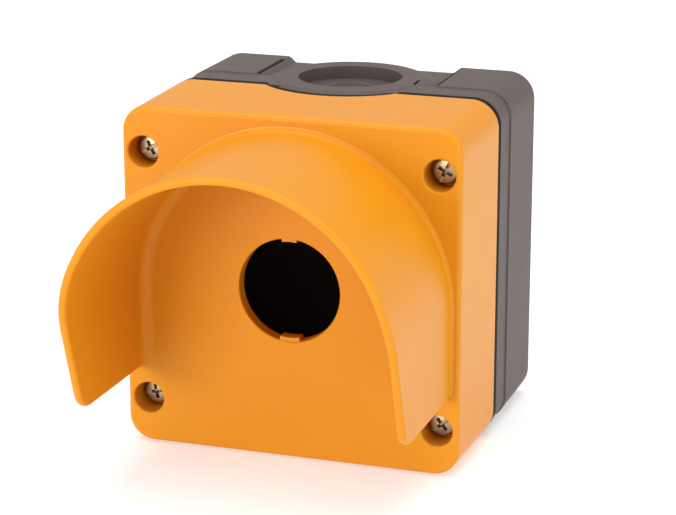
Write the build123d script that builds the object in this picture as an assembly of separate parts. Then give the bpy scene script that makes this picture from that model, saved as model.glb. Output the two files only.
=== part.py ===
"""One-hole wall-mounted control station housing with a moulded protective hood.

Frame: origin at the centre of the wall-mounting face, +X right, +Z up, and the
front of the housing towards -Y.  All lengths are millimetres.
"""
from build123d import *
import os

# ---- Housing, outside ----------------------------------------------------
SIDE = 75.0                 # width and height of the housing
CORNER_R = 6.0              # outline corners
DEPTH = 58.0                # wall face to cover face
COVER_DEPTH = 26.5          # cover face to the cover's back edge
DRAFT = 1.0                 # moulding draft of the cover's sides, degrees
FRONT_EDGE_R = 1.0          # rounding round the cover's face
BACK_EDGE_R = 0.8           # rounding round the wall face
WALL = 2.6                  # side walls of cover and base, and the base's floor
FACE_T = 3.0                # thickness of the cover's face

# ---- Seal between cover and base -----------------------------------------
SEAM = 1.6                  # gap that the seal fills
SEAL_W = 1.4                # width of the seal strip
SEAL_BEAD = 1.0             # how far its bead reaches into the base's groove
SEAL_INSET = 1.6            # strip to the housing's outside
SEAL_FIT = 0.1              # clearance of the bead in its groove

# ---- Collar and recessed middle of the base ------------------------------
COLLAR_L = 8.9              # plain band behind the parting line
COLLAR_STEP = 0.3           # the band is this much smaller than the body
MIDDLE_HALF = 20.5          # half width of the recessed middle, at its edge
MIDDLE_DROP = 1.5           # how far the middle lies below the two raised ends
MIDDLE_FLANK = 1.6          # sideways run of its sloping flanks
END_SLOT_X = 20.6           # slots along the inner edges of the raised ends
END_SLOT_W = 0.9
END_SLOT_BACK = -4.0
END_SLOT_FRONT = -20.8

# ---- Cable entry boss, top and bottom ------------------------------------
BOSS_Y = -17.5              # boss axis, from the wall face
BOSS_R = 19.3               # foot of the boss's cone
BOSS_FLAT_R = 16.0          # flat ring on top of the boss
BOSS_FALL = 1.3             # height of the cone
BOSS_INNER_R = 14.5         # thickened ring inside the wall
BOSS_INNER_T = 5.2          # boss thickness from its top to the inside
ENTRY_R = 11.5              # blind recess in the boss
ENTRY_DEPTH = 3.0           # depth of that recess
ENTRY_HOLE_R = 10.2         # hole left when the knockout is broken out
NOTCH_X = 15.6              # short notch at the right of the boss's flat ring
NOTCH_W = 0.8
NOTCH_BACK = -16.5
NOTCH_FRONT = -21.0
NOTCH_DEPTH = 1.1
TONGUE_T = 1.5              # part of the boss that laps over the cover
LAP_GAP = 0.3               # clearance under the lap
LAP_ROUND = 1.0             # clearance round the lap's edge
LAP_PAD = 1.7               # cover wall thickening under the lap

# ---- Knockout disc --------------------------------------------------------
DISC_T = 1.3                # membrane thickness
DISC_LIP = 0.5              # thickness of the web at its edge
DISC_RING_R = 6.0           # raised ring on the disc
DISC_RING_W = 0.7
DISC_RING_H = 0.25

# ---- Actuator hole --------------------------------------------------------
HOLE_R = 11.15              # standard 22 mm actuator hole
HOLE_EDGE_R = 0.35

# ---- Hood -----------------------------------------------------------------
HOOD_R = 35.2               # outside radius of the arch
HOOD_T = 2.0                # wall at the root
HOOD_FLARE = 0.4            # draft of the inside, degrees
HOOD_CENTRE_Z = -1.3        # centre of the arch
HOOD_REACH = 39.5           # face to the rim
HOOD_BOTTOM_Z = -20.0       # lower edge of the two wings
WING_FOOT = 30.7            # reach of the wing's lower corner, before rounding
WING_KNEE_Z = 5.8           # above this height the rim is upright
WING_TIP_R = 5.5
WING_KNEE_R = 36.0
RIM_R = 0.8                 # rounding of the rim
ROOT_R = 2.6                # fillet inside the hood, where it leaves the face

# ---- Screws ---------------------------------------------------------------
SCREW_X = 32.3              # half of the screw pattern, across
SCREW_Z = 27.25             # half of the screw pattern, up
SHANK_R = 1.95              # thread's outside radius
HEAD_R = 2.75
HEAD_T = 2.4
HEAD_EDGE_R = 0.5
HEAD_SINK = 4.2             # cover face to the top of the head
SCREW_L = 32.0              # under the head
SCREW_TIP = 0.8             # tip chamfer
CROSS_L = 3.4               # cross recess, tip to tip
CROSS_W = 0.85
CROSS_DEPTH = 1.5
SLOT_DEPTH = 0.6
MOUTH_R = 3.4               # counterbore in the cover
MOUTH_EDGE_R = 0.45
COLUMN_R = 4.7              # column round each screw, in cover and base
CLEAR_R = 2.2               # screw hole in the cover
RUN_FIT = 0.06              # radial clearance of the thread in its insert

# ---- Screw retainers and threaded inserts ----------------------------------
RETAINER_R = 3.1
RETAINER_T = 1.2
RETAINER_RIB = 0.15         # chamfer of its edges
RETAINER_PLAY = 0.3         # pocket floor to the ring
POCKET_R = 3.5
POCKET_DEPTH = 2.2
INSERT_R = 2.9
INSERT_L = 8.0
INSERT_SINK = 1.3           # below the end of the post, clear of the seal
INSERT_COLLAR_R = 3.4
INSERT_COLLAR_T = 0.8
TIP_ROOM = 3.0              # blind hole past the screw's end

# ---- Wall fixing -----------------------------------------------------------
FIX_X = 24.0                # half of the wall-fixing pattern, across
FIX_Z = 31.0                # half of the wall-fixing pattern, up
FIX_R = 2.25
FIX_PAD_R = 4.75
FIX_PAD_T = 1.5

# ---- Positions along the depth, worked out ---------------------------------
FACE_Y = -DEPTH
COVER_BACK_Y = FACE_Y + COVER_DEPTH
PARTING_Y = COVER_BACK_Y + SEAM
HALF = SIDE / 2
HEAD_TOP_Y = FACE_Y + HEAD_SINK
SEAT_Y = HEAD_TOP_Y + HEAD_T
TIP_Y = SEAT_Y + SCREW_L
RETAINER_Y = COVER_BACK_Y - POCKET_DEPTH + RETAINER_PLAY
CORNERS = {
    "tl": (-SCREW_X, SCREW_Z),
    "tr": (SCREW_X, SCREW_Z),
    "bl": (-SCREW_X, -SCREW_Z),
    "br": (SCREW_X, -SCREW_Z),
}
ENDS = {"top": 1, "bottom": -1}


def upright(y):
    """Plane facing the front at depth y; its axes are the housing's X and Z."""
    return Plane(origin=(0, y, 0), x_dir=(1, 0, 0), z_dir=(0, -1, 0))


def level(end, height):
    """Plane across a cable boss, facing outwards at a height from the middle."""
    origin = (0, BOSS_Y, end * height)
    return Plane(origin=origin, x_dir=(1, 0, 0), z_dir=(0, 0, end))


def block(y_back, y_front, half, radius, taper=0):
    """Rounded square bar centred on the housing, from y_back to y_front."""
    outline = RectangleRounded(2 * half, 2 * half, radius)
    return extrude(upright(y_back) * outline, y_back - y_front, taper=taper)


def rod(x, z, radius, y_back, y_front):
    """Round bar along Y between two depths."""
    outline = upright(y_back) * Pos(x, z) * Circle(radius)
    return extrude(outline, y_back - y_front)


def disc(end, radius, low, high):
    """Round plate on a boss's axis, between two heights from the middle."""
    return extrude(level(end, low) * Circle(radius), high - low)


def arch_face(y, radius, foot_z):
    """Arch outline: two upright legs under a half circle."""
    left = Line((-radius, foot_z), (-radius, HOOD_CENTRE_Z))
    crown_point = (0, HOOD_CENTRE_Z + radius)
    crown = ThreePointArc(left @ 1, crown_point, (radius, HOOD_CENTRE_Z))
    right = Line(crown @ 1, (radius, foot_z))
    foot = Line(right @ 1, left @ 0)
    return upright(y) * make_face([left, crown, right, foot])


def hood_side():
    """Side view of the hood, swept across the housing."""
    top_z = HALF + 5
    outline = [
        (FACE_Y + 1, HOOD_BOTTOM_Z),
        (FACE_Y - WING_FOOT, HOOD_BOTTOM_Z),
        (FACE_Y - HOOD_REACH, WING_KNEE_Z),
        (FACE_Y - HOOD_REACH, top_z),
        (FACE_Y + 1, top_z),
    ]
    face = Plane.YZ * make_face(Polyline(*outline, close=True))
    bar = extrude(face, SIDE / 2, both=True)
    along_x = bar.edges().filter_by(Axis.X)
    tip = along_x.sort_by_distance((0, outline[1][0], outline[1][1]))[0]
    bar = fillet(tip, WING_TIP_R)
    along_x = bar.edges().filter_by(Axis.X)
    knee = along_x.sort_by_distance((0, outline[2][0], outline[2][1]))[0]
    return fillet(knee, WING_KNEE_R)


def make_hood():
    """Arched hood with two wings, open at the front and below."""
    outside = extrude(arch_face(FACE_Y, HOOD_R, HOOD_BOTTOM_Z - 5), HOOD_REACH + 5)
    inside_face = arch_face(FACE_Y, HOOD_R - HOOD_T, HOOD_BOTTOM_Z - 20)
    inside = extrude(inside_face, HOOD_REACH + 6, taper=-HOOD_FLARE)
    inside = fillet(inside.faces().sort_by(Axis.Y)[-1].edges(), ROOT_R)
    shell = (outside - inside) & hood_side()
    return fillet(shell.edges().filter_by(is_free_edge), RIM_R)


def is_free_edge(edge):
    """True for the edges of the rim, of the tips and under the wings."""
    middle = edge @ 0.5
    heading = edge % 0.5
    level_ends = abs((edge @ 0).Y - (edge @ 1).Y) < 0.01
    fillet_border = level_ends and abs(middle.Y - FACE_Y + ROOT_R) < ROOT_R / 4
    wall_seam = abs(heading.Y) > 0.99 and middle.Z > HOOD_BOTTOM_Z + 1
    across_wall = abs(heading.X) > 0.99 and edge.length < 2 * HOOD_T
    near_face = edge.center().Y > FACE_Y - ROOT_R / 2
    return not (fillet_border or wall_seam or across_wall or near_face)


def make_lap(end):
    """Boss cone with the tongue below it that laps over the cover."""
    flat = level(end, HALF) * Circle(BOSS_FLAT_R)
    foot = level(end, HALF - BOSS_FALL) * Circle(BOSS_R)
    return loft([foot, flat]) + disc(end, BOSS_R, HALF - TONGUE_T, HALF - BOSS_FALL)


def make_cover():
    """Cover shell with face, hood, actuator hole and four screw columns."""
    shell = block(COVER_BACK_Y, FACE_Y, HALF, CORNER_R, DRAFT)
    face_edges = shell.faces().sort_by(Axis.Y)[0].edges()
    shell = fillet(face_edges, FRONT_EDGE_R)
    envelope = shell
    room = block(COVER_BACK_Y, FACE_Y + FACE_T, HALF - WALL, CORNER_R - WALL, DRAFT)
    shell = shell - room
    for end in ENDS.values():
        pad_low = HALF - TONGUE_T - LAP_GAP - LAP_PAD
        pad = disc(end, BOSS_R + LAP_ROUND + LAP_PAD, pad_low, HALF)
        shell = shell + (pad & envelope)
    for x, z in CORNERS.values():
        column = rod(x, z, COLUMN_R, COVER_BACK_Y, FACE_Y + FACE_T / 2)
        shell = shell + (column & envelope)
    for end in ENDS.values():
        notch_floor = HALF - TONGUE_T - LAP_GAP
        notch = disc(end, BOSS_R + LAP_ROUND, notch_floor, HALF + 2)
        shell = shell - notch
    shell = shell - rod(0, 0, HOLE_R, COVER_BACK_Y, FACE_Y - 1)
    hole_edge = shell.edges().filter_by(GeomType.CIRCLE)
    hole_edge = hole_edge.filter_by(lambda edge: abs(edge.radius - HOLE_R) < 0.01)
    shell = fillet(hole_edge.sort_by(Axis.Y)[0], HOLE_EDGE_R)
    shell = shell + make_hood()
    for x, z in CORNERS.values():
        mouth = rod(x, z, MOUTH_R, SEAT_Y, FACE_Y - 1)
        shell = shell - mouth
        shell = shell - rod(x, z, CLEAR_R, COVER_BACK_Y + 1, SEAT_Y - 1)
        pocket_y = COVER_BACK_Y - POCKET_DEPTH
        shell = shell - rod(x, z, POCKET_R, COVER_BACK_Y + 1, pocket_y)
    mouths = shell.edges().filter_by(GeomType.CIRCLE)
    mouths = mouths.filter_by(lambda edge: abs(edge.radius - MOUTH_R) < 0.01)
    mouths = mouths.filter_by(lambda edge: edge.center().Y < FACE_Y + 0.01)
    return fillet(mouths, MOUTH_EDGE_R)


def make_base():
    """Wall box: collar, body, cable bosses, screw posts and fixing holes."""
    step_y = PARTING_Y + COLLAR_L
    collar = block(step_y, PARTING_Y, HALF - COLLAR_STEP, CORNER_R - COLLAR_STEP)
    body = block(0, step_y, HALF, CORNER_R)
    body = fillet(body.faces().sort_by(Axis.Y)[-1].edges(), BACK_EDGE_R)
    for end in ENDS.values():
        body = body - middle_recess(end, step_y)
    shell = body + collar
    envelope = shell
    for end in ENDS.values():
        in_front_of_wall = block(0, PARTING_Y - BOSS_R, SIDE, CORNER_R)
        shell = shell + (make_lap(end) & in_front_of_wall)
    shell = shell - block(-WALL, PARTING_Y - SEAM, HALF - WALL, CORNER_R - WALL)
    for x, z in CORNERS.values():
        post = rod(x, z, COLUMN_R, -WALL / 2, PARTING_Y)
        shell = shell + (post & envelope)
    for x, z in fixing_points():
        shell = shell + rod(x, z, FIX_PAD_R, -WALL / 2, -WALL - FIX_PAD_T)
    for end in ENDS.values():
        inside = HALF - BOSS_INNER_T
        ring = disc(end, BOSS_INNER_R, inside, HALF - MIDDLE_DROP)
        behind_parting = block(0, PARTING_Y, SIDE, CORNER_R)
        shell = shell + (ring & behind_parting)
        floor = HALF - ENTRY_DEPTH
        shell = shell - disc(end, ENTRY_R, floor, HALF + 1)
        shell = shell - disc(end, ENTRY_HOLE_R, inside - 1, floor + 1)
        shell = shell - disc(end, ENTRY_R - 0.4, floor - DISC_LIP, floor + 1)
        low = HALF - MIDDLE_DROP
        for x in (-END_SLOT_X, END_SLOT_X):
            shell = shell - side_slot(end, x, END_SLOT_W, END_SLOT_BACK, END_SLOT_FRONT, low)
        floor = HALF - NOTCH_DEPTH
        shell = shell - side_slot(end, NOTCH_X, NOTCH_W, NOTCH_BACK, NOTCH_FRONT, floor)
    for x, z in CORNERS.values():
        shell = shell - rod(x, z, INSERT_R, insert_end(), PARTING_Y - 1)
        collar_y = PARTING_Y + INSERT_SINK + INSERT_COLLAR_T
        shell = shell - rod(x, z, INSERT_COLLAR_R, collar_y, PARTING_Y - 1)
        shell = shell - rod(x, z, CLEAR_R, TIP_Y + TIP_ROOM, PARTING_Y - 1)
    for x, z in fixing_points():
        shell = shell - rod(x, z, FIX_R, 1, -WALL - FIX_PAD_T - 1)
    return shell - seal_ring(PARTING_Y + SEAL_BEAD, PARTING_Y - 1, SEAL_FIT)


def side_slot(end, x, width, back, front, floor):
    """Straight slot along the depth in a boss side, down to a height from the middle."""
    outline = Pos(x, end * (floor + HALF / 2)) * Rectangle(width, HALF)
    return extrude(upright(back) * outline, back - front)


def middle_recess(end, step_y):
    """Shallow sloping-sided recess between the raised ends of a boss side."""
    floor = HALF - MIDDLE_DROP
    over = HALF + 1
    spread = MIDDLE_HALF + MIDDLE_FLANK / MIDDLE_DROP
    low_half = MIDDLE_HALF - MIDDLE_FLANK
    outline = [
        (-low_half, end * floor),
        (low_half, end * floor),
        (spread, end * over),
        (-spread, end * over),
    ]
    face = upright(1) * make_face(Polyline(*outline, close=True))
    return extrude(face, 1 - step_y)


def fixing_points():
    """Centres of the four wall-fixing holes."""
    return [(x, z) for x in (-FIX_X, FIX_X) for z in (-FIX_Z, FIX_Z)]


def insert_end():
    """Depth of a threaded insert's inner end."""
    return PARTING_Y + INSERT_SINK + INSERT_L


def seal_ring(y_back, y_front, growth=0.0):
    """Square strip that follows the rim, grown by a clearance on both sides."""
    outer = HALF - SEAL_INSET + growth
    inner = outer - SEAL_W - 2 * growth
    outer_r = CORNER_R - SEAL_INSET + growth
    inner_r = outer_r - SEAL_W - 2 * growth
    bar = block(y_back, y_front, outer, outer_r)
    return bar - block(y_back, y_front, inner, inner_r)


def make_seal():
    """Rim seal: strip between the halves with a bead in the base's groove."""
    return seal_ring(PARTING_Y + SEAL_BEAD, COVER_BACK_Y)


def make_screw(x, z):
    """Captive cover screw with a slotted cross recess."""
    head = rod(x, z, HEAD_R, SEAT_Y, HEAD_TOP_Y)
    head = fillet(head.edges().filter_by(GeomType.CIRCLE).sort_by(Axis.Y)[0], HEAD_EDGE_R)
    for length, depth in ((2 * HEAD_R + 1, SLOT_DEPTH), (CROSS_L, CROSS_DEPTH)):
        slot = upright(HEAD_TOP_Y + depth) * Pos(x, z) * Rectangle(length, CROSS_W)
        head = head - extrude(slot, depth + 1)
    arm = upright(HEAD_TOP_Y + CROSS_DEPTH) * Pos(x, z) * Rectangle(CROSS_W, CROSS_L)
    head = head - extrude(arm, CROSS_DEPTH + 1)
    shank = rod(x, z, SHANK_R, TIP_Y, SEAT_Y - HEAD_T / 4)
    tip = shank.edges().filter_by(GeomType.CIRCLE).sort_by(Axis.Y)[-1]
    return head + chamfer(tip, SCREW_TIP)


def make_retainer(x, z):
    """Ring pressed on the shank, which keeps the screw in the cover."""
    ring = rod(x, z, RETAINER_R, RETAINER_Y + RETAINER_T, RETAINER_Y)
    ring = chamfer(ring.edges().filter_by(GeomType.CIRCLE), RETAINER_RIB)
    return ring - rod(x, z, SHANK_R, RETAINER_Y + 2 * RETAINER_T, RETAINER_Y - RETAINER_T)


def make_insert(x, z):
    """Flanged brass insert in a base post."""
    start = PARTING_Y + INSERT_SINK
    sleeve = rod(x, z, INSERT_R, insert_end(), start)
    flange = rod(x, z, INSERT_COLLAR_R, start + INSERT_COLLAR_T, start)
    thread = rod(x, z, SHANK_R + RUN_FIT, insert_end() + 1, start - 1)
    return sleeve + flange - thread


def make_knockout(end):
    """Break-out disc that closes a cable entry."""
    top = HALF - ENTRY_DEPTH
    plug = disc(end, ENTRY_HOLE_R, top - DISC_T, top - DISC_LIP)
    lip = disc(end, ENTRY_R - 0.4, top - DISC_LIP, top)
    ring = disc(end, DISC_RING_R, top, top + DISC_RING_H)
    ring = ring - disc(end, DISC_RING_R - DISC_RING_W, top, top + 2 * DISC_RING_H)
    return plug + lip + ring


def save(shape, node):
    """Write one node's STEP file."""
    export_step(shape, os.path.join("parts", node + ".step"))


def main():
    """Build and write every node."""
    os.makedirs("parts", exist_ok=True)
    save(make_base(), "base")
    save(make_cover(), "cover")
    save(make_seal(), "rim_seal")
    for name, end in ENDS.items():
        save(make_knockout(end), "knockout_" + name)
    for name, (x, z) in CORNERS.items():
        save(make_screw(x, z), "cover_screw_" + name)
        save(make_retainer(x, z), "screw_retainer_" + name)
        save(make_insert(x, z), "threaded_insert_" + name)


if __name__ == "__main__":
    main()
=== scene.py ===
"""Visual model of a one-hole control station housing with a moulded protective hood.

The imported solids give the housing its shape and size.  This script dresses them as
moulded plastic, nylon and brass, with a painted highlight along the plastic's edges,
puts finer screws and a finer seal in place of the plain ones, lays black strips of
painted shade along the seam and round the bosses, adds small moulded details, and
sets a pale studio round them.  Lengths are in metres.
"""
import logging
import math
from collections.abc import Callable, Iterable, Sequence
from dataclasses import dataclass, field
from enum import Enum
from typing import Any

import bmesh
import bpy
from mathutils import Matrix, Vector


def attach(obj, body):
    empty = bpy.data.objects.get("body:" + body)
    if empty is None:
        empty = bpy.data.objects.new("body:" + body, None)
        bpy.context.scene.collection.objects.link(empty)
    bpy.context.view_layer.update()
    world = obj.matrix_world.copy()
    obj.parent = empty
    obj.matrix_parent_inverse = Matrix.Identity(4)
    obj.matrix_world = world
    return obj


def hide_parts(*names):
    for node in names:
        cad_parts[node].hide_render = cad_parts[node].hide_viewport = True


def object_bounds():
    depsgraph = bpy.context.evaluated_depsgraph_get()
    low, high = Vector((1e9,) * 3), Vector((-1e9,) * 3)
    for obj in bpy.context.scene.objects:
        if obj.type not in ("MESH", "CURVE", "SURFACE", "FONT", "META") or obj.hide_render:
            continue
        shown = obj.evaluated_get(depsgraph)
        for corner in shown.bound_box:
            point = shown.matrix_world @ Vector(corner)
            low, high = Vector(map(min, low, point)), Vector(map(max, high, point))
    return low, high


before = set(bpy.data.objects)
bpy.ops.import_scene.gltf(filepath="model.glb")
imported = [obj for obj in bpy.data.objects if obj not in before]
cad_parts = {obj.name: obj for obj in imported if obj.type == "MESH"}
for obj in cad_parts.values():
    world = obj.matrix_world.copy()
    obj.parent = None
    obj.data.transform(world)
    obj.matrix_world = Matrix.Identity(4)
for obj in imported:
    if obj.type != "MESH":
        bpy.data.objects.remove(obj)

CAD_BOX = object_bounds()
MM = 0.001
FACE_Y = -58.0 * MM
BOSS_Y = -17.5 * MM
SCREW_X, SCREW_Z = 32.3 * MM, 27.25 * MM
SIGNS = ((-1, -1), (1, -1), (1, 1), (-1, 1))
LOG = logging.getLogger("housing")

Colour = tuple[float, float, float]
Point = tuple[float, float, float]
Pair = tuple[float, float]


class Slot(Enum):
    """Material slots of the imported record."""

    COVER = "cover"
    BASE = "base"
    SEAL = "seal"
    SCREW = "screw"
    RETAINER = "retainer"
    INSERT = "insert"


class Place(Enum):
    """A place on the housing, named at the end of its nodes and bodies."""

    @property
    def suffix(self) -> str:
        """Ending of those names."""
        return self.name.lower()


class Corner(Place):
    """The four corners of the housing, as (side, height) signs."""

    TL = (-1, 1)
    TR = (1, 1)
    BL = (-1, -1)
    BR = (1, -1)


class End(Place):
    """The two cable entry sides, as the sign of their height."""

    TOP = 1
    BOTTOM = -1


# Node trees written as expressions


def operator(operation: str, reflected: bool = False) -> Callable[..., "Signal"]:
    """Method that adds a Math node on a signal and one more operand.

    Args:
        operation: The node's operation.
        reflected: Whether the signal is the right-hand operand.

    Returns:
        The method.
    """

    def method(self: "Signal", other: Any) -> "Signal":
        """The node's result."""
        values = {0: other, 1: self} if reflected else {0: self, 1: other}
        return self.graph.node("ShaderNodeMath", {"operation": operation}, values)

    return method


class Signal:
    """One output socket, with the arithmetic that shaders need."""

    def __init__(self, graph: "Graph", socket: bpy.types.NodeSocket) -> None:
        """Wrap a socket.

        Args:
            graph: The tree that the socket belongs to.
            socket: The output to wrap.
        """
        self.graph = graph
        self.socket = socket

    __add__, __radd__ = operator("ADD"), operator("ADD", reflected=True)
    __sub__, __rsub__ = operator("SUBTRACT"), operator("SUBTRACT", reflected=True)
    __mul__, __rmul__ = operator("MULTIPLY"), operator("MULTIPLY", reflected=True)
    __truediv__, __rtruediv__ = operator("DIVIDE"), operator("DIVIDE", reflected=True)

    def clamped(self) -> "Signal":
        """The signal held between 0 and 1."""
        return self.graph.node("ShaderNodeClamp", {}, {"Value": self})

    def window(self, low: float, high: float) -> "Signal":
        """Smooth step of the signal.

        Args:
            low: Value where the step starts, giving 0.
            high: Value where it ends, giving 1.

        Returns:
            The stepped signal.
        """
        return self.graph.node(
            "ShaderNodeMapRange",
            {"interpolation_type": "SMOOTHSTEP"},
            {"Value": self, "From Min": low, "From Max": high},
        )


class Graph:
    """A node tree that is filled through one node-making method."""

    def __init__(self, tree: bpy.types.NodeTree) -> None:
        """Wrap a tree.

        Args:
            tree: A shader or geometry node tree.
        """
        self.tree = tree

    def node(
        self,
        kind: str,
        settings: dict[str, Any] | None = None,
        values: dict[int | str, Any] | None = None,
        output: int | str = 0,
    ) -> Signal:
        """Make one node.

        Args:
            kind: The node's type.
            settings: Its properties, set before its sockets.
            values: Numbers, or signals to link, by socket name or index.
            output: The output to return.

        Returns:
            The chosen output as a signal.
        """
        made = self.tree.nodes.new(kind)
        for name, setting in (settings or {}).items():
            setattr(made, name, setting)
        for name, value in (values or {}).items():
            if isinstance(value, Signal):
                self.tree.links.new(value.socket, made.inputs[name])
            else:
                made.inputs[name].default_value = value
        return Signal(self, made.outputs[output])

    def sink(self, kind: str, values: dict[int | str, Any]) -> None:
        """Make a node that has no output, such as a material output.

        Args:
            kind: The node's type.
            values: Signals to link, by socket name or index.
        """
        made = self.tree.nodes.new(kind)
        for name, value in values.items():
            self.tree.links.new(value.socket, made.inputs[name])


class Surface(Graph):
    """The node tree of one material, with the patterns that the finishes share."""

    def __init__(self, name: str) -> None:
        """Start an empty material.

        Args:
            name: The material's name.
        """
        self.material = bpy.data.materials.new(name)
        self.material.use_nodes = True
        super().__init__(self.material.node_tree)
        self.tree.nodes.clear()

    def place(
        self, centre: Point = (0, 0, 0), stretch: Point = (1, 1, 1), folded: bool = False
    ) -> Signal:
        """Object coordinates, moved and stretched.

        Args:
            centre: Point that becomes the pattern's origin.
            stretch: Scale along each axis.
            folded: Whether all corners of the housing are read as its first one.

        Returns:
            The coordinates as a vector signal.
        """
        place = self.node("ShaderNodeTexCoord", output="Object")
        if folded:
            place = self.vector("ABSOLUTE", place)
        return self.vector("MULTIPLY", self.vector("SUBTRACT", place, centre), stretch)

    def vector(self, operation: str, first: Any, second: Any = None) -> Signal:
        """Vector Math on two vectors.

        Args:
            operation: The node's operation.
            first: A vector or vector signal.
            second: The other one, for the operations that have it.

        Returns:
            A vector, or a number where the operation gives one.
        """
        values = {0: first} if second is None else {0: first, 1: second}
        output = "Value" if operation in ("LENGTH", "DOT_PRODUCT") else "Vector"
        return self.node("ShaderNodeVectorMath", {"operation": operation}, values, output)

    def noise(self, place: Signal, size: float, detail: float = 2.0) -> Signal:
        """Cloudy pattern.

        Args:
            place: Coordinates to read.
            size: Size of the pattern's features.
            detail: Octaves of finer pattern.

        Returns:
            Values round 0.5.
        """
        values = {"Vector": place, "Scale": 1 / size, "Detail": detail}
        return self.node("ShaderNodeTexNoise", {"noise_dimensions": "3D"}, values)

    def mix(self, share: Signal, low: Any, high: Any) -> Signal:
        """Blend of two colours.

        Args:
            share: 0 for the first colour, 1 for the second.
            low: First colour, or a colour signal.
            high: Second colour, or a colour signal.

        Returns:
            The blended colour.
        """
        first = low if isinstance(low, Signal) else (*low, 1.0)
        second = high if isinstance(high, Signal) else (*high, 1.0)
        settings = {"data_type": "RGBA", "clamp_factor": True}
        return self.node("ShaderNodeMix", settings, {0: share, 6: first, 7: second}, 2)

    def rounded(self, radius: float) -> Signal:
        """Normal that is rounded off at the solid's edges."""
        return self.node("ShaderNodeBevel", {"samples": 4}, {"Radius": radius})

    def edges(self, radius: float) -> Signal:
        """Mask of the solid's edges, from how far a rounded normal turns there.

        Args:
            radius: Reach of the mask on both sides of an edge.

        Returns:
            0 on flat faces, rising at edges.
        """
        normal = self.node("ShaderNodeNewGeometry", output="Normal")
        facing = self.vector("DOT_PRODUCT", self.rounded(radius), normal)
        return (1 - facing).window(0.01, 0.25)

    def bump(self, height: Signal, depth: float, under: Signal | None = None) -> Signal:
        """Normal of a height pattern.

        Args:
            height: The pattern, 0 to 1.
            depth: Height of 1, in metres.
            under: Normal of a coarser pattern below it.

        Returns:
            The bumped normal.
        """
        values: dict[int | str, Any] = {"Height": height, "Distance": depth}
        if under is not None:
            values["Normal"] = under
        return self.node("ShaderNodeBump", {}, values)

    def finish(self, values: dict[int | str, Any]) -> bpy.types.Material:
        """Close the tree with a Principled shader.

        Args:
            values: The shader's sockets.

        Returns:
            The finished material.
        """
        shader = self.node("ShaderNodeBsdfPrincipled", {}, values)
        self.sink("ShaderNodeOutputMaterial", {"Surface": shader})
        return self.material


# Finishes


@dataclass(frozen=True)
class MouldedPlastic:
    """Injection-moulded plastic: fine grain, flow clouds, scuffs, and a painted highlight
    that lightens every edge.
    """

    name: str
    colour: Colour
    deep: Colour
    # Lighter colour for the painted edge highlight, and also for real scuffs.
    edge_highlight_and_scuff: Colour
    roughness: float
    grain: float = 0.45 * MM
    grain_depth: float = 0.006 * MM
    peel: float = 5.0 * MM
    peel_depth: float = 0.020 * MM
    flow: float = 42 * MM
    flow_stretch: Point = (1, 0.55, 1.6)
    flow_share: float = 0.9
    cloud: float = 9 * MM
    cloud_share: float = 0.5
    streak: float = 2.2 * MM
    streak_stretch: Point = (1, 9, 0.8)
    scuff_band: Pair = (0.66, 0.78)
    scuff_wear: float = 0.18
    # Strength of the painted edge highlight, and how far the clouds vary it.
    edge_highlight_floor: float = 0.55
    edge_highlight_cloud: float = 0.9
    dull_grain: float = 0.10
    dull_cloud: float = 0.12
    dull_scuff: float = 0.10
    polish: float = 0.06
    fleck: float = 0.10
    edge_share: float = 0.35
    edge_reach: float = 0.45 * MM
    edge_radius: float = 0.15 * MM
    refraction: float = 1.52
    gloss: float = 0.18

    def material(self) -> bpy.types.Material:
        """The plastic's material.

        Returns:
            A material on Object coordinates.
        """
        surface = Surface(self.name)
        place = surface.place()
        flow = surface.noise(surface.place(stretch=self.flow_stretch), self.flow, 3)
        cloud = surface.noise(place, self.cloud, 3)
        grain = surface.noise(place, self.grain, 2)
        peel = surface.noise(place, self.peel, 1)
        tone = (
            (flow - 0.5) * self.flow_share
            + (cloud - 0.5) * self.cloud_share
            + (grain - 0.5) * self.fleck
            + 0.5
        )
        body = surface.mix(tone.clamped(), self.deep, self.colour)
        along = surface.place(stretch=self.streak_stretch)
        scuff = surface.noise(along, self.streak, 4).window(*self.scuff_band)
        # Every edge is lightened here as a painted highlight, varied by the clouds; the
        # scuffs share that lighter colour and are real wear.
        edge = surface.edges(self.edge_reach)
        painted_edge_highlight = edge * (self.edge_highlight_floor + cloud * self.edge_highlight_cloud)
        highlight_and_scuff_mask = (painted_edge_highlight + scuff * self.scuff_wear).clamped()
        colour = surface.mix(highlight_and_scuff_mask * self.edge_share, body, self.edge_highlight_and_scuff)
        dull = (
            self.roughness
            + (grain - 0.5) * self.dull_grain
            + (cloud - 0.5) * self.dull_cloud
            + scuff * self.dull_scuff
        )
        coarse = surface.bump(peel, self.peel_depth, surface.rounded(self.edge_radius))
        normal = surface.bump(grain, self.grain_depth, coarse)
        return surface.finish(
            {
                "Base Color": colour,
                "Roughness": (dull - edge * self.polish).clamped(),
                "Normal": normal,
                "IOR": self.refraction,
                "Specular IOR Level": self.gloss,
            }
        )


@dataclass(frozen=True)
class SoftRubber:
    """Black moulded rubber with a dusty bloom."""

    name: str = "seal_rubber"
    colour: Colour = (0.009, 0.008, 0.007)
    bloom: Colour = (0.026, 0.023, 0.020)
    roughness: float = 0.78
    dust: float = 3.5 * MM
    dust_band: Pair = (0.42, 0.75)
    dust_share: float = 0.7
    dust_dulling: float = 0.3
    pore: float = 0.25 * MM
    pore_depth: float = 0.010 * MM
    gloss: float = 0.12

    def material(self) -> bpy.types.Material:
        """The rubber's material."""
        surface = Surface(self.name)
        place = surface.place()
        dust = surface.noise(place, self.dust, 4)
        pores = surface.noise(place, self.pore, 2)
        dusty = dust.window(*self.dust_band) * self.dust_share
        colour = surface.mix(dusty, self.colour, self.bloom)
        return surface.finish(
            {
                "Base Color": colour,
                "Roughness": (self.roughness + (dust - 0.5) * self.dust_dulling).clamped(),
                "Normal": surface.bump(pores, self.pore_depth),
                "Specular IOR Level": self.gloss,
            }
        )


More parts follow.
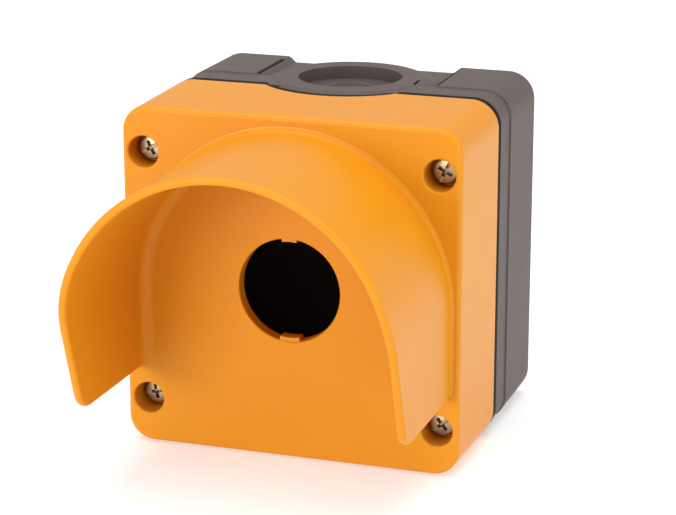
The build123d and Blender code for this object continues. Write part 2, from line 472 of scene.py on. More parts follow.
@dataclass(frozen=True)
class TurnedMetal:
    """Turned and plated metal with tool rings round the screw axes."""

    name: str
    colour: Colour
    tint: Colour
    stain: Colour
    roughness: float
    axis: Point = (SCREW_X, 0.0, SCREW_Z)
    ring: float = 0.16 * MM
    ring_depth: float = 0.004 * MM
    wobble: float = 0.05 * MM
    cloud: float = 1.3 * MM
    fine: float = 0.18 * MM
    tint_band: Pair = (0.35, 0.70)
    spot_band: Pair = (0.64, 0.74)
    spot_cloud: Pair = (0.40, 0.60)
    spot_share: float = 0.6
    dull_cloud: float = 0.20
    dull_ring: float = 0.03
    dull_spot: float = 0.2
    edge_radius: float = 0.12 * MM
    ring_relief: float = 0.5
    fine_relief: float = 0.8

    def material(self) -> bpy.types.Material:
        """The metal's material, its rings centred on each screw's axis."""
        surface = Surface(self.name)
        across = surface.place(self.axis, (1, 0, 1), folded=True)
        from_axis = surface.vector("LENGTH", across)
        whole = surface.place()
        cloud = surface.noise(whole, self.cloud, 4)
        fine = surface.noise(whole, self.fine, 3)
        wobble = from_axis + (fine - 0.5) * self.wobble
        turns = wobble * (math.tau / self.ring)
        rings = surface.node("ShaderNodeMath", {"operation": "SINE"}, {0: turns})
        plated = surface.mix(cloud.window(*self.tint_band), self.colour, self.tint)
        spots = fine.window(*self.spot_band) * cloud.window(*self.spot_cloud)
        colour = surface.mix(spots * self.spot_share, plated, self.stain)
        dull = (
            self.roughness
            + (cloud - 0.5) * self.dull_cloud
            + rings * self.dull_ring
            + spots * self.dull_spot
        )
        soft = surface.rounded(self.edge_radius)
        relief = rings * self.ring_relief + fine * self.fine_relief
        return surface.finish(
            {
                "Base Color": colour,
                "Metallic": 1.0,
                "Roughness": dull.clamped(),
                "Normal": surface.bump(relief, self.ring_depth, soft),
            }
        )


@dataclass(frozen=True)
class PalePaper:
    """Seamless pale studio backdrop."""

    name: str = "studio_paper"
    colour: Colour = (0.72, 0.72, 0.715)
    shade: Colour = (0.69, 0.69, 0.685)
    glow: float = 0.42
    roughness: float = 0.86
    cloud: float = 120 * MM
    fibre: float = 0.8 * MM
    fibre_dulling: float = 0.1
    fibre_depth: float = 0.01 * MM
    gloss: float = 0.2

    def material(self) -> bpy.types.Material:
        """The backdrop's material."""
        surface = Surface(self.name)
        place = surface.place()
        cloud = surface.noise(place, self.cloud, 2)
        fibre = surface.noise(place, self.fibre, 2)
        dull = self.roughness + (fibre - 0.5) * self.fibre_dulling
        return surface.finish(
            {
                "Base Color": surface.mix(cloud.clamped(), self.shade, self.colour),
                "Roughness": dull.clamped(),
                "Normal": surface.bump(fibre, self.fibre_depth),
                "Specular IOR Level": self.gloss,
                "Emission Color": (1.0, 1.0, 1.0, 1.0),
                "Emission Strength": self.glow,
            }
        )


# Mesh helpers


def link_mesh(name: str, shape: bmesh.types.BMesh) -> bpy.types.Object:
    """Turn a bmesh into a linked object.

    Args:
        name: Name of the new object.
        shape: The mesh, which is freed.

    Returns:
        The object, at the origin.
    """
    bmesh.ops.recalc_face_normals(shape, faces=shape.faces)
    mesh = bpy.data.meshes.new(name)
    shape.to_mesh(mesh)
    shape.free()
    made = bpy.data.objects.new(name, mesh)
    bpy.context.scene.collection.objects.link(made)
    return made


def bake_modifiers(piece: bpy.types.Object) -> bpy.types.Object:
    """Replace a piece's mesh by its evaluated one and drop the modifiers.

    Args:
        piece: A piece with live modifiers.

    Returns:
        The same piece, as a plain mesh.
    """
    bpy.context.view_layer.update()
    graph = bpy.context.evaluated_depsgraph_get()
    final = bpy.data.meshes.new_from_object(piece.evaluated_get(graph))
    final.name = piece.name
    piece.modifiers.clear()
    piece.data = final
    return piece


def smooth_by_angle(piece: bpy.types.Object, degrees: float) -> None:
    """Shade a piece smooth, with edges past an angle kept sharp.

    Args:
        piece: The piece, a plain mesh.
        degrees: Angle above which an edge stays sharp.
    """
    piece.data.shade_smooth()
    piece.data.set_sharp_from_angle(angle=math.radians(degrees))


def skin_rings(name: str, rings: Sequence[Sequence[Point]]) -> bpy.types.Object:
    """Skin a row of closed cross-sections and cap its two ends.

    Args:
        name: Name of the new object.
        rings: Cross-sections with equal point counts, in order.

    Returns:
        The skinned piece.
    """
    shape = bmesh.new()
    rows = [[shape.verts.new(point) for point in ring] for ring in rings]
    count = len(rows[0])
    for near, far in zip(rows, rows[1:]):
        for i in range(count):
            j = (i + 1) % count
            shape.faces.new((near[i], near[j], far[j], far[i]))
    shape.faces.new(rows[0])
    shape.faces.new(reversed(rows[-1]))
    return link_mesh(name, shape)


def lathe(
    name: str, profile: Sequence[Pair], steps: int
) -> bpy.types.Object:
    """Turn a profile round the Z axis.

    Args:
        name: Name of the new object.
        profile: (radius, height) points from one pole to the other.
        steps: Facets round the axis.

    Returns:
        A closed turned piece.
    """
    shape = bmesh.new()
    first = shape.verts.new((0, 0, profile[0][1]))
    last = shape.verts.new((0, 0, profile[-1][1]))
    angles = [math.tau * i / steps for i in range(steps)]
    rows = [
        [shape.verts.new((r * math.cos(a), r * math.sin(a), height)) for a in angles]
        for r, height in profile[1:-1]
    ]
    for i in range(steps):
        j = (i + 1) % steps
        shape.faces.new((first, rows[0][j], rows[0][i]))
        shape.faces.new((last, rows[-1][i], rows[-1][j]))
        for near, far in zip(rows, rows[1:]):
            shape.faces.new((near[i], near[j], far[j], far[i]))
    return link_mesh(name, shape)


def dress(piece: bpy.types.Object, material: bpy.types.Material) -> None:
    """Give a piece its one material.

    Args:
        piece: The piece to dress.
        material: Its finish.
    """
    piece.data.materials.clear()
    piece.data.materials.append(material)


class Sweep:
    """A geometry node modifier whose tree is built here and applied to a mesh."""

    def __init__(self, name: str, material: bpy.types.Material) -> None:
        """Start a tree.

        Args:
            name: Name of the tree.
            material: Material that the tree's end sets.
        """
        self.tree = bpy.data.node_groups.new(name, "GeometryNodeTree")
        self.graph = Graph(self.tree)
        self.material = material
        self.identifiers: dict[str, str] = {}
        self._add_socket("Geometry", "NodeSocketGeometry", "INPUT")
        self._add_socket("Geometry", "NodeSocketGeometry", "OUTPUT")
        self.inputs = self.tree.nodes.new("NodeGroupInput")

    def _add_socket(self, name: str, kind: str, way: str) -> str:
        """Add a socket to the tree's interface and give its identifier."""
        made = self.tree.interface.new_socket(name=name, in_out=way, socket_type=kind)
        return made.identifier

    def size(self, name: str, kind: str = "NodeSocketFloat") -> Signal:
        """Add a named input.

        Args:
            name: The input's name.
            kind: The socket's type.

        Returns:
            The input as a signal inside the tree.
        """
        self.identifiers[name] = self._add_socket(name, kind, "INPUT")
        return Signal(self.graph, self.inputs.outputs[name])

    def given(self) -> Signal:
        """The mesh that the modifier is on."""
        return Signal(self.graph, self.inputs.outputs["Geometry"])

    def joined(self, parts: Iterable[Signal]) -> Signal:
        """Join several geometries.

        Args:
            parts: The geometries.

        Returns:
            All of them as one.
        """
        join = self.tree.nodes.new("GeometryNodeJoinGeometry")
        for part in parts:
            self.tree.links.new(part.socket, join.inputs[0])
        return Signal(self.graph, join.outputs[0])

    def along(self, curve: Signal, section: Signal) -> Signal:
        """Sweep a closed section along a curve, with capped ends.

        Args:
            curve: The path, whose normals are set level.
            section: The outline that is swept.

        Returns:
            The swept mesh.
        """
        level = self.graph.node(
            "GeometryNodeSetCurveNormal", {"mode": "Z_UP"}, {"Curve": curve}
        )
        values = {"Curve": level, "Profile Curve": section, "Fill Caps": True}
        return self.graph.node("GeometryNodeCurveToMesh", {}, values)

    def close(self, geometry: Signal) -> None:
        """End the tree with real geometry and its material.

        Args:
            geometry: What the tree has made.
        """
        real = self.graph.node("GeometryNodeRealizeInstances", {}, {"Geometry": geometry})
        dressed = self.graph.node(
            "GeometryNodeSetMaterial", {}, {"Geometry": real, "Material": self.material}
        )
        self.graph.sink("NodeGroupOutput", {0: dressed})

    def apply(self, piece: bpy.types.Object, sizes: dict[str, Any]) -> bpy.types.Object:
        """Run the tree on a piece and keep the result as its mesh.

        Args:
            piece: The piece that carries the modifier.
            sizes: Values of the named inputs.

        Returns:
            The piece, as a plain mesh.
        """
        modifier = piece.modifiers.new(self.tree.name, "NODES")
        modifier.node_group = self.tree
        for name, value in sizes.items():
            modifier[self.identifiers[name]] = value
        return bake_modifiers(piece)


# The housing


@dataclass(frozen=True)
class Palette:
    """Every finish of the housing."""

    cover: MouldedPlastic = MouldedPlastic(
        name="cover_plastic",
        colour=(0.685, 0.264, 0.010),
        deep=(0.650, 0.238, 0.007),
        edge_highlight_and_scuff=(0.780, 0.370, 0.045),
        roughness=0.36,
    )
    base: MouldedPlastic = MouldedPlastic(
        name="base_plastic",
        colour=(0.112, 0.086, 0.078),
        deep=(0.088, 0.067, 0.061),
        edge_highlight_and_scuff=(0.200, 0.168, 0.158),
        roughness=0.52,
        grain=0.30 * MM,
        grain_depth=0.010 * MM,
        fleck=0.30,
        edge_share=0.50,
    )
    retainer: MouldedPlastic = MouldedPlastic(
        name="retainer_nylon",
        colour=(0.70, 0.68, 0.60),
        deep=(0.62, 0.59, 0.50),
        edge_highlight_and_scuff=(0.80, 0.79, 0.74),
        roughness=0.48,
    )
    seal: SoftRubber = SoftRubber()
    screw: TurnedMetal = TurnedMetal(
        name="screw_yellow_passivated_steel",
        colour=(0.46, 0.36, 0.22),
        tint=(0.36, 0.28, 0.19),
        stain=(0.14, 0.08, 0.04),
        roughness=0.36,
    )
    insert: TurnedMetal = TurnedMetal(
        name="insert_brass",
        colour=(0.80, 0.58, 0.25),
        tint=(0.70, 0.50, 0.22),
        stain=(0.25, 0.15, 0.06),
        roughness=0.28,
    )


@dataclass
class Housing:
    """Cover, base and knockout discs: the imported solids, dressed as moulded plastic."""

    cover_plastic: bpy.types.Material
    base_plastic: bpy.types.Material

    def build(self) -> None:
        """Dress the two halves and the knockout discs."""
        dress(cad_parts["cover"], self.cover_plastic)
        dress(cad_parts["base"], self.base_plastic)
        for end in End:
            dress(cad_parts[f"knockout_{end.suffix}"], self.base_plastic)
        LOG.info("housing: cover, base and knockouts dressed")


@dataclass
class HoodRoot:
    """Concave fillet where the hood's outside rises from the cover's face."""

    plastic: bpy.types.Material
    face_y: float = FACE_Y
    arch_radius: float = 35.2 * MM
    arch_height: float = -1.3 * MM
    foot: float = -19.9 * MM
    crown_fillet: float = 1.2 * MM
    leg_fillet: float = 0.7 * MM
    foot_fillet: float = 0.1 * MM
    fade: float = 2.5 * MM
    sink: float = 0.06 * MM
    leg_steps: int = 12
    arch_steps: int = 72
    arc_steps: int = 8
    sharp_angle: float = 40

    def _section(self, outward: Vector, root: Vector, radius: float) -> list[Point]:
        """One closed cross-section.

        Args:
            outward: Unit direction away from the hood's wall.
            root: Point where the wall meets the face.
            radius: Fillet radius here.

        Returns:
            A ring of points, its concave side towards the open.
        """
        front = Vector((0, -1, 0))
        centre = root + (outward + front) * radius
        ring = [root - (outward + front) * self.sink]
        ring.append(root + front * radius - outward * self.sink)
        for i in range(self.arc_steps + 1):
            angle = math.pi / 2 * i / self.arc_steps
            inward = outward * math.cos(angle) + front * math.sin(angle)
            ring.append(centre - inward * radius)
        ring.append(root + outward * radius - front * self.sink)
        return [tuple(point) for point in ring]

    def _leg(self, side: int) -> list[list[Point]]:
        """Cross-sections up one leg, from the foot to the arch.

        Args:
            side: -1 for the left leg, 1 for the right one.

        Returns:
            The rings in order.
        """
        rings = []
        outward = Vector((side, 0, 0))
        for i in range(self.leg_steps + 1):
            height = self.foot + (self.arch_height - self.foot) * i / self.leg_steps
            grown = min(1.0, (height - self.foot) / self.fade)
            radius = self.foot_fillet + (self.leg_fillet - self.foot_fillet) * grown
            root = Vector((side * self.arch_radius, self.face_y, height))
            rings.append(self._section(outward, root, radius))
        return rings

    def _arch(self) -> list[list[Point]]:
        """Cross-sections over the arch, between the two legs."""
        rings = []
        middle = Vector((0, self.face_y, self.arch_height))
        for i in range(1, self.arch_steps):
            angle = math.pi * (1 - i / self.arch_steps)
            outward = Vector((math.cos(angle), 0, math.sin(angle)))
            rise = math.sin(angle) ** 2
            radius = self.leg_fillet + (self.crown_fillet - self.leg_fillet) * rise
            root = middle + outward * self.arch_radius
            rings.append(self._section(outward, root, radius))
        return rings

    def build(self) -> None:
        """Make the fillet and put it on the cover."""
        rings = self._leg(-1) + self._arch() + self._leg(1)[::-1]
        piece = skin_rings("hood_root_fillet", rings)
        smooth_by_angle(piece, self.sharp_angle)
        dress(piece, self.plastic)
        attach(piece, "cover")
        LOG.info("hood root: %d faces", len(piece.data.polygons))


@dataclass
class LocatingTabs:
    """Two keys in the actuator hole that stop a unit from turning."""

    plastic: bpy.types.Material
    hole_radius: float = 11.15 * MM
    front: float = -57.85 * MM
    back: float = -55.05 * MM
    widths: Pair = (3.4 * MM, 4.6 * MM)
    heights: Pair = (0.62 * MM, 0.85 * MM)
    edge: float = 0.16 * MM
    bite: float = 0.25 * MM
    steps: int = 10
    edge_segments: int = 3
    edge_angle: float = 40
    sharp_angle: float = 50

    def _outline(
        self, end: End, width: float, height: float
    ) -> list[Pair]:
        """Front outline of one tab, inner arc first.

        Args:
            end: Whether the tab hangs from the top or stands at the bottom.
            width: Width along the hole's edge.
            height: How far it reaches into the hole.

        Returns:
            (x, z) points of a closed outline.
        """
        points = []
        inner, outer = self.hole_radius - height, self.hole_radius + self.bite
        half = width / 2 / self.hole_radius
        for radius, order in ((inner, 1), (outer, -1)):
            for i in range(self.steps + 1):
                angle = order * half * (2 * i / self.steps - 1)
                rise = end.value * radius * math.cos(angle)
                points.append((radius * math.sin(angle), rise))
        return points

    def build(self) -> None:
        """Make both tabs and put them on the cover."""
        for end, width, height in zip(End, self.widths, self.heights):
            outline = self._outline(end, width, height)
            rings = [[(x, y, z) for x, z in outline] for y in (self.front, self.back)]
            piece = skin_rings(f"hole_tab_{end.suffix}", rings)
            bevel = piece.modifiers.new("edge", "BEVEL")
            bevel.width = self.edge
            bevel.segments = self.edge_segments
            bevel.angle_limit = math.radians(self.edge_angle)
            bake_modifiers(piece)
            smooth_by_angle(piece, self.sharp_angle)
            dress(piece, self.plastic)
            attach(piece, "cover")
        LOG.info("locating tabs: %s mm wide", [round(w / MM, 2) for w in self.widths])


@dataclass
class CoverScrews:
    """Captive pan-head screws with a slotted cross recess and a rolled thread."""

    steel: bpy.types.Material
    x: float = SCREW_X
    z: float = SCREW_Z
    head_top: float = -53.8 * MM
    head_radius: float = 2.72 * MM
    head_height: float = 2.38 * MM
    dome: float = 0.18 * MM
    dome_steps: int = 4
    shoulder: float = 0.45 * MM
    shoulder_steps: int = 6
    under_edge: float = 0.15 * MM
    neck: float = 0.12 * MM
    run_out: float = 0.3 * MM
    shank_radius: float = 1.94 * MM
    core_radius: float = 1.55 * MM
    length: float = 31.95 * MM
    thread_length: float = 12.2 * MM
    pitch: float = 0.7 * MM
    tip: float = 0.8 * MM
    cross_length: float = 3.5 * MM
    cross_width: float = 0.80 * MM
    cross_depth: float = 1.45 * MM
    cross_taper: float = 0.62
    slot_depth: float = 0.60 * MM
    slot_width: float = 0.92
    slot_reach: float = 2.2
    cutter_over: float = 0.3 * MM
    thread_relief: float = 0.4 * MM
    thread_start: float = 0.6
    thread_steps: int = 20
    ridge_sides: int = 4
    sharp_angle: float = 32
    turns: dict[Corner, float] = field(
        default_factory=lambda: {Corner.TL: 28, Corner.TR: 62, Corner.BL: 12, Corner.BR: 40}
    )
    facets: int = 48

    def _profile(self) -> list[Pair]:
        """Turned outline from the domed head to the chamfered tip."""
        points = [(0.0, 0.0)]
        flat, bend = self.head_radius - self.shoulder, self.shoulder
        for i in range(1, self.dome_steps + 1):
            share = i / self.dome_steps
            points.append((flat * i / self.dome_steps, -self.dome * share**2))
        for i in range(1, self.shoulder_steps + 1):
            angle = math.pi / 2 * i / self.shoulder_steps
            radius = self.head_radius - bend * (1 - math.sin(angle))
            points.append((radius, -self.dome - bend * (1 - math.cos(angle))))
        head, shank, core = self.head_radius, self.shank_radius, self.core_radius
        under = -self.head_height
        run_out = -self.head_height - self.length + self.thread_length
        end = -self.head_height - self.length
        points += [(head, under + self.under_edge), (head - self.under_edge, under)]
        points += [(shank + self.neck, under), (shank, under - self.neck)]
        points += [(shank, run_out), (core, run_out - self.run_out)]
        points += [(core, end + self.tip), (core - self.tip, end), (0.0, end)]
        return points

    def _recess(self) -> bpy.types.Object:
        """Cutter: a tapered cross with a straight slot across the head."""
        shape = bmesh.new()
        long, wide, deep = self.cross_length, self.cross_width, self.cross_depth
        slot = (self.head_radius * self.slot_reach, wide * self.slot_width)
        arms = (
            (long, wide, deep, self.cross_taper),
            (wide, long, deep, self.cross_taper),
            (*slot, self.slot_depth, 1.0),
        )
        for size_x, size_y, depth, taper in arms:
            rows = []
            for share, height in ((1.0, self.cutter_over), (taper, -depth)):
                x, y = size_x / 2 * share, size_y / 2 * share
                row = [shape.verts.new((sx * x, sy * y, height)) for sx, sy in SIGNS]
                rows.append(row)
            for i in range(4):
                j = (i + 1) % 4
                shape.faces.new((rows[0][i], rows[0][j], rows[1][j], rows[1][i]))
            shape.faces.new(rows[0])
            shape.faces.new(rows[1][::-1])
        return link_mesh("recess_cutter", shape)

    def _thread(self) -> Sweep:
        """Tree that winds a ridge round the threaded end."""
        sweep = Sweep("rolled_thread", self.steel)
        pitch = sweep.size("Pitch")
        length = sweep.size("Length")
        radius = sweep.size("Core radius")
        depth = sweep.size("Depth")
        start = sweep.size("Start")
        graph = sweep.graph
        spiral = graph.node(
            "GeometryNodeCurveSpiral",
            {},
            {
                "Resolution": self.thread_steps,
                "Rotations": length / pitch,
                "Start Radius": radius,
                "End Radius": radius,
                "Height": length,
            },
        )
        ridge = graph.node(
            "GeometryNodeCurvePrimitiveCircle",
            {},
            {"Resolution": self.ridge_sides, "Radius": depth},
        )
        swept = sweep.along(spiral, ridge)
        offset = graph.node("ShaderNodeCombineXYZ", {}, {"Z": start})
        placed = graph.node(
            "GeometryNodeTransform", {}, {"Geometry": swept, "Translation": offset}
        )
        sweep.close(sweep.joined([sweep.given(), placed]))
        return sweep

    def build(self) -> None:
        """Turn, cut, thread and place the four screws."""
        cutter = self._recess()
        thread = self._thread()
        sizes = {
            "Pitch": self.pitch,
            "Length": self.thread_length - self.tip - self.thread_relief,
            "Core radius": self.core_radius,
            "Depth": self.shank_radius - self.core_radius,
            "Start": -self.head_height - self.length + self.tip * self.thread_start,
        }
        for corner in Corner:
            name = f"screw_{corner.suffix}"
            piece = lathe(f"pan_head_{name}", self._profile(), self.facets)
            cut = piece.modifiers.new("recess", "BOOLEAN")
            cut.operation = "DIFFERENCE"
            cut.solver = "EXACT"
            cut.use_self = True
            cut.object = cutter
            bake_modifiers(piece)
            thread.apply(piece, sizes)
            side, height = corner.value
            place = Matrix(
                (
                    (1, 0, 0, side * self.x),
                    (0, 0, -1, self.head_top),
                    (0, 1, 0, height * self.z),
                    (0, 0, 0, 1),
                )
            )
            spin = Matrix.Rotation(math.radians(self.turns[corner]), 4, "Z")
            piece.data.transform(place @ spin)
            smooth_by_angle(piece, self.sharp_angle)
            dress(piece, self.steel)
            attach(piece, name)
            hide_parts(f"cover_{name}")
            LOG.info("%s: %d faces", piece.name, len(piece.data.polygons))
        bpy.data.objects.remove(cutter)


@dataclass
class Fittings:
    """Retainers on the screws and inserts in the base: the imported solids, dressed."""

    nylon: bpy.types.Material
    brass: bpy.types.Material

    def build(self) -> None:
        """Dress the four retainers and the four inserts."""
        for corner in Corner:
            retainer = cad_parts[f"screw_retainer_{corner.suffix}"]
            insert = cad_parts[f"threaded_insert_{corner.suffix}"]
            dress(retainer, self.nylon)
            dress(insert, self.brass)
        LOG.info("fittings: retainers and inserts dressed")


@dataclass(frozen=True)
class Section:
    """Rounded rectangular section of a swept strip."""

    width: float
    height: float
    rounding: float


@dataclass
class RimSeal:
    """Rubber strip round the rim, with black strips along the outer seam and round each boss
    that paint the shade of the gap seen from outside.
    """

    rubber: bpy.types.Material
    strip: Section = Section(1.38 * MM, 2.58 * MM, 0.40 * MM)
    strip_half: float = 35.2 * MM
    strip_corner: float = 3.7 * MM
    strip_middle: float = -30.2 * MM
    # Black strip along the cover's outer seam: painted shade of the gap between cover and
    # base.
    seam_shade: Section = Section(1.60 * MM, 2.40 * MM, 0.16 * MM)
    seam_shade_half: float = 36.65 * MM
    seam_shade_corner: float = 5.15 * MM
    seam_shade_start: float = 14.9 * MM
    seam_shade_middle: float = -30.26 * MM
    # Black arcs at each boss's edge: painted shade of the dark line there.
    boss_shade: Section = Section(1.75 * MM, 1.62 * MM, 0.16 * MM)
    boss_shade_radius: float = 19.37 * MM
    boss_shade_height: float = 36.56 * MM
    boss_shade_angle: float = 46.0
    boss_axis: float = BOSS_Y
    corner_steps: int = 10
    boss_shade_steps: int = 40
    rounding_steps: int = 3
    sharp_angle: float = 40

    def _tree(self) -> Sweep:
        """Tree that sweeps a rounded section along a flat path."""
        sweep = Sweep("rubber_sweep", self.rubber)
        width = sweep.size("Width")
        height = sweep.size("Height")
        rounding = sweep.size("Rounding")
        graph = sweep.graph
        path = graph.node("GeometryNodeMeshToCurve", {}, {"Mesh": sweep.given()})
        outline = graph.node(
            "GeometryNodeCurvePrimitiveQuadrilateral",
            {"mode": "RECTANGLE"},
            {"Width": width, "Height": height},
        )
        soft = graph.node(
            "GeometryNodeFilletCurve",
            {"mode": "POLY"},
            {"Curve": outline, "Radius": rounding, "Count": self.rounding_steps},
        )
        sweep.close(sweep.along(path, soft))
        return sweep

    def _quarter(self, half: float, radius: float, turn: int) -> list[Pair]:
        """One rounded corner of a square path.

        Args:
            half: Half of the square's side.
            radius: Corner radius.
            turn: Quarter turns from the upper right corner, anticlockwise.

        Returns:
            Points of the corner, anticlockwise.
        """
        points = []
        for i in range(self.corner_steps + 1):
            angle = math.pi / 2 * i / self.corner_steps
            x = half - radius + radius * math.cos(angle)
            z = half - radius + radius * math.sin(angle)
            for _ in range(turn):
                x, z = -z, x
            points.append((x, z))
        return points

    def _lay(
        self,
        whole: bmesh.types.BMesh,
        sweep: Sweep,
        path: Sequence[Pair],
        section: Section,
        place: Matrix,
        closed: bool = False,
    ) -> None:
        """Sweep one path and add its strip to the rest.

        Args:
            whole: The mesh that gathers the strips.
            sweep: The sweeping tree.
            path: Points in the path's own plane.
            section: The strip's section.
            place: Where the path's plane lies.
            closed: Whether the path is a ring.
        """
        wire = bmesh.new()
        points = [wire.verts.new((x, y, 0)) for x, y in path]
        for near, far in zip(points, points[1:]):
            wire.edges.new((near, far))
        if closed:
            wire.edges.new((points[-1], points[0]))
        carrier = link_mesh("seal_path", wire)
        sizes = {
            "Width": section.width,
            "Height": section.height,
            "Rounding": section.rounding,
        }
        sweep.apply(carrier, sizes)
        carrier.data.transform(place)
        whole.from_mesh(carrier.data)
        bpy.data.objects.remove(carrier)

    def build(self) -> None:
        """Lay the rubber strip and the black strips of painted shade along the seam and round
        the bosses, and put them on the base.
        """
        sweep = self._tree()
        whole = bmesh.new()
        facing = Matrix.Rotation(math.pi / 2, 4, "X")
        strip_place = Matrix.Translation((0, self.strip_middle, 0)) @ facing
        seam_shade_place = Matrix.Translation((0, self.seam_shade_middle, 0)) @ facing
        ring = [
            point
            for turn in range(4)
            for point in self._quarter(self.strip_half, self.strip_corner, turn)
        ]
        self._lay(whole, sweep, ring, self.strip, strip_place, closed=True)
        # Black strips down both sides of the seam: painted shade of the gap.
        upper = self._quarter(self.seam_shade_half, self.seam_shade_corner, 0)[::-1]
        lower = [(x, -z) for x, z in reversed(upper)]
        first, last = (self.seam_shade_start, self.seam_shade_half), (self.seam_shade_start, -self.seam_shade_half)
        for side in (-1, 1):
            path = [(side * x, z) for x, z in (first, *upper, *lower, last)]
            self._lay(whole, sweep, path, self.seam_shade, seam_shade_place)
        # Black arcs round both bosses: painted shade at their edges.
        reach = math.radians(self.boss_shade_angle)
        for end in End:
            arc = []
            for i in range(self.boss_shade_steps + 1):
                angle = reach * (2 * i / self.boss_shade_steps - 1)
                x, y = self.boss_shade_radius * math.sin(angle), self.boss_shade_radius * math.cos(angle)
                arc.append((x, self.boss_axis - y))
            place = Matrix.Translation((0, 0, end.value * self.boss_shade_height))
            self._lay(whole, sweep, arc, self.boss_shade, place)
        piece = link_mesh("rim_seal_and_painted_shade", whole)
        smooth_by_angle(piece, self.sharp_angle)
        dress(piece, self.rubber)
        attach(piece, "base")
        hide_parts("rim_seal")
        LOG.info("rim seal: %d faces", len(piece.data.polygons))


@dataclass
class KnockoutMarks:
    """Raised pips on the knockout discs, where a punch is set."""

    plastic: bpy.types.Material
    axis_y: float = BOSS_Y
    disc_height: float = 34.5 * MM
    ring_radius: float = 3.6 * MM
    pip_radius: float = 0.42 * MM
    pip_height: float = 0.22 * MM
    count: int = 6
    dome_segments: int = 14
    dome_rings: int = 8
    sharp_angle: float = 60

    def _tree(self) -> Sweep:
        """Tree that sets flat domes on a circle and one in its middle."""
        sweep = Sweep("knockout_pips", self.plastic)
        ring = sweep.size("Ring radius")
        radius = sweep.size("Pip radius")
        height = sweep.size("Pip height")
        count = sweep.size("Count", "NodeSocketInt")
        graph = sweep.graph
        circle = graph.node("GeometryNodeMeshCircle", {}, {"Vertices": count, "Radius": ring})
        middle = graph.node("GeometryNodeMeshLine", {}, {"Count": 1})
        points = sweep.joined([circle, middle])
        dome = graph.node(
            "GeometryNodeMeshUVSphere",
            {},
            {"Segments": self.dome_segments, "Rings": self.dome_rings, "Radius": radius},
        )
        squash = {"X": 1.0, "Y": 1.0, "Z": height / radius}
        flat = graph.node("ShaderNodeCombineXYZ", {}, squash)
        placed = graph.node(
            "GeometryNodeInstanceOnPoints",
            {},
            {"Points": points, "Instance": dome, "Scale": flat},
        )
        sweep.close(placed)
        return sweep

    def build(self) -> None:
        """Set the pips on both discs."""
        tree = self._tree()
        sizes = {
            "Ring radius": self.ring_radius,
            "Pip radius": self.pip_radius,
            "Pip height": self.pip_height,
            "Count": self.count,
        }
        for end in End:
            piece = link_mesh(f"knockout_pips_{end.suffix}", bmesh.new())
            tree.apply(piece, sizes)
            place = Vector((0, self.axis_y, end.value * self.disc_height))
            piece.data.transform(Matrix.Translation(place))
            smooth_by_angle(piece, self.sharp_angle)
            dress(piece, self.plastic)
            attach(piece, "base")
        LOG.info("knockout marks: %d pips a disc", self.count + 1)


# Studio


@dataclass(frozen=True)
class Softbox:
    """One area light, aimed at the housing."""

    name: str
    place: Point
    width: float
    height: float
    power: float

    def build(self, target: Vector) -> None:
        """Hang the light.

        Args:
            target: Point that it faces.
        """
        light = bpy.data.lights.new(self.name, "AREA")
        light.shape = "RECTANGLE"
        light.size = self.width
        light.size_y = self.height
        light.energy = self.power
        lamp = bpy.data.objects.new(self.name, light)
        lamp.location = self.place
        heading = target - Vector(self.place)
        lamp.rotation_euler = heading.to_track_quat("-Z", "Y").to_euler()
        bpy.context.scene.collection.objects.link(lamp)


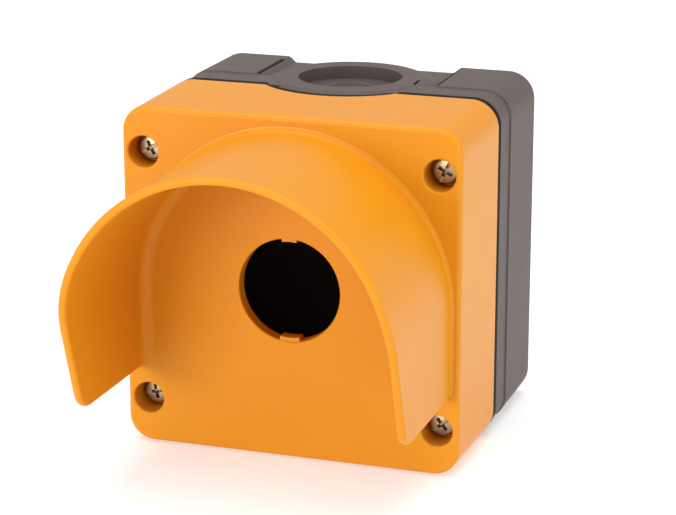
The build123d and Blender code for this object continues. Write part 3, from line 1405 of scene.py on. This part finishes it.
@dataclass
class Studio:
    """Pale floor, soft light and the camera."""

    paper: PalePaper = field(default_factory=PalePaper)
    softboxes: tuple[Softbox, ...] = (
        Softbox("overhead_softbox", (0.02, -0.16, 0.74), 0.80, 0.80, 5.2),
        Softbox("front_softbox", (-0.35, -0.90, 0.12), 0.40, 0.24, 3.45),
        Softbox("right_softbox", (0.75, -0.20, 0.15), 0.45, 0.30, 1.2),
    )
    world: Colour = (1.0, 1.0, 1.0)
    world_strength: float = 0.66
    floor_half: float = 4.0
    floor_drop: float = 0.02 * MM
    light_aim: Point = (0.0, -30.0 * MM, 0.0)
    azimuth: float = 18.65
    elevation: float = 16.33
    distance: float = 488.12 * MM
    aim: Point = (0.0, FACE_Y, 0.0)
    aim_right: float = 10.23 * MM
    aim_up: float = 6.96 * MM
    lens: float = 124.70
    sensor: float = 36.0
    clip_start: float = 0.01

    def _floor(self) -> None:
        """Lay the paper under the housing."""
        shape = bmesh.new()
        level = CAD_BOX[0][2] - self.floor_drop
        half = self.floor_half
        row = [shape.verts.new((sx * half, sy * half, level)) for sx, sy in SIGNS]
        shape.faces.new(row)
        floor = link_mesh("studio_floor", shape)
        floor.data.materials.append(self.paper.material())

    def _camera(self) -> None:
        """Set the camera at the viewing angle."""
        turn, tilt = math.radians(self.azimuth), math.radians(self.elevation)
        level = math.cos(tilt)
        heading = Vector(
            (-math.sin(turn) * level, math.cos(turn) * level, -math.sin(tilt))
        )
        right = Vector((math.cos(turn), math.sin(turn), 0))
        up = right.cross(heading)
        aim = Vector(self.aim) + right * self.aim_right + up * self.aim_up
        camera = bpy.data.objects.new("camera", bpy.data.cameras.new("camera"))
        camera.data.sensor_width = self.sensor
        camera.data.lens = self.lens
        camera.data.clip_start = self.clip_start
        turned = Matrix((right, up, -heading)).transposed().to_4x4()
        camera.matrix_world = Matrix.Translation(aim - heading * self.distance) @ turned
        bpy.context.scene.collection.objects.link(camera)
        bpy.context.scene.camera = camera

    def build(self) -> None:
        """Set up floor, lights, world, camera and colour handling."""
        self._floor()
        for softbox in self.softboxes:
            softbox.build(Vector(self.light_aim))
        world = bpy.data.worlds.new("studio_world")
        world.use_nodes = True
        sky = world.node_tree.nodes["Background"]
        sky.inputs["Color"].default_value = (*self.world, 1.0)
        sky.inputs["Strength"].default_value = self.world_strength
        bpy.context.scene.world = world
        bpy.context.scene.view_settings.view_transform = "Standard"
        self._camera()
        LOG.info("studio: %d softboxes", len(self.softboxes))


def main() -> None:
    """Dress the housing, add its details and set the studio round it."""
    logging.basicConfig(level=logging.INFO, format="%(name)s: %(message)s")
    palette = Palette()
    cover_plastic = palette.cover.material()
    base_plastic = palette.base.material()
    parts = (
        Housing(cover_plastic, base_plastic),
        HoodRoot(cover_plastic),
        LocatingTabs(cover_plastic),
        CoverScrews(palette.screw.material()),
        Fittings(palette.retainer.material(), palette.insert.material()),
        RimSeal(palette.seal.material()),
        KnockoutMarks(base_plastic),
        Studio(),
    )
    for part in parts:
        part.build()


if __name__ == "__main__":
    main()
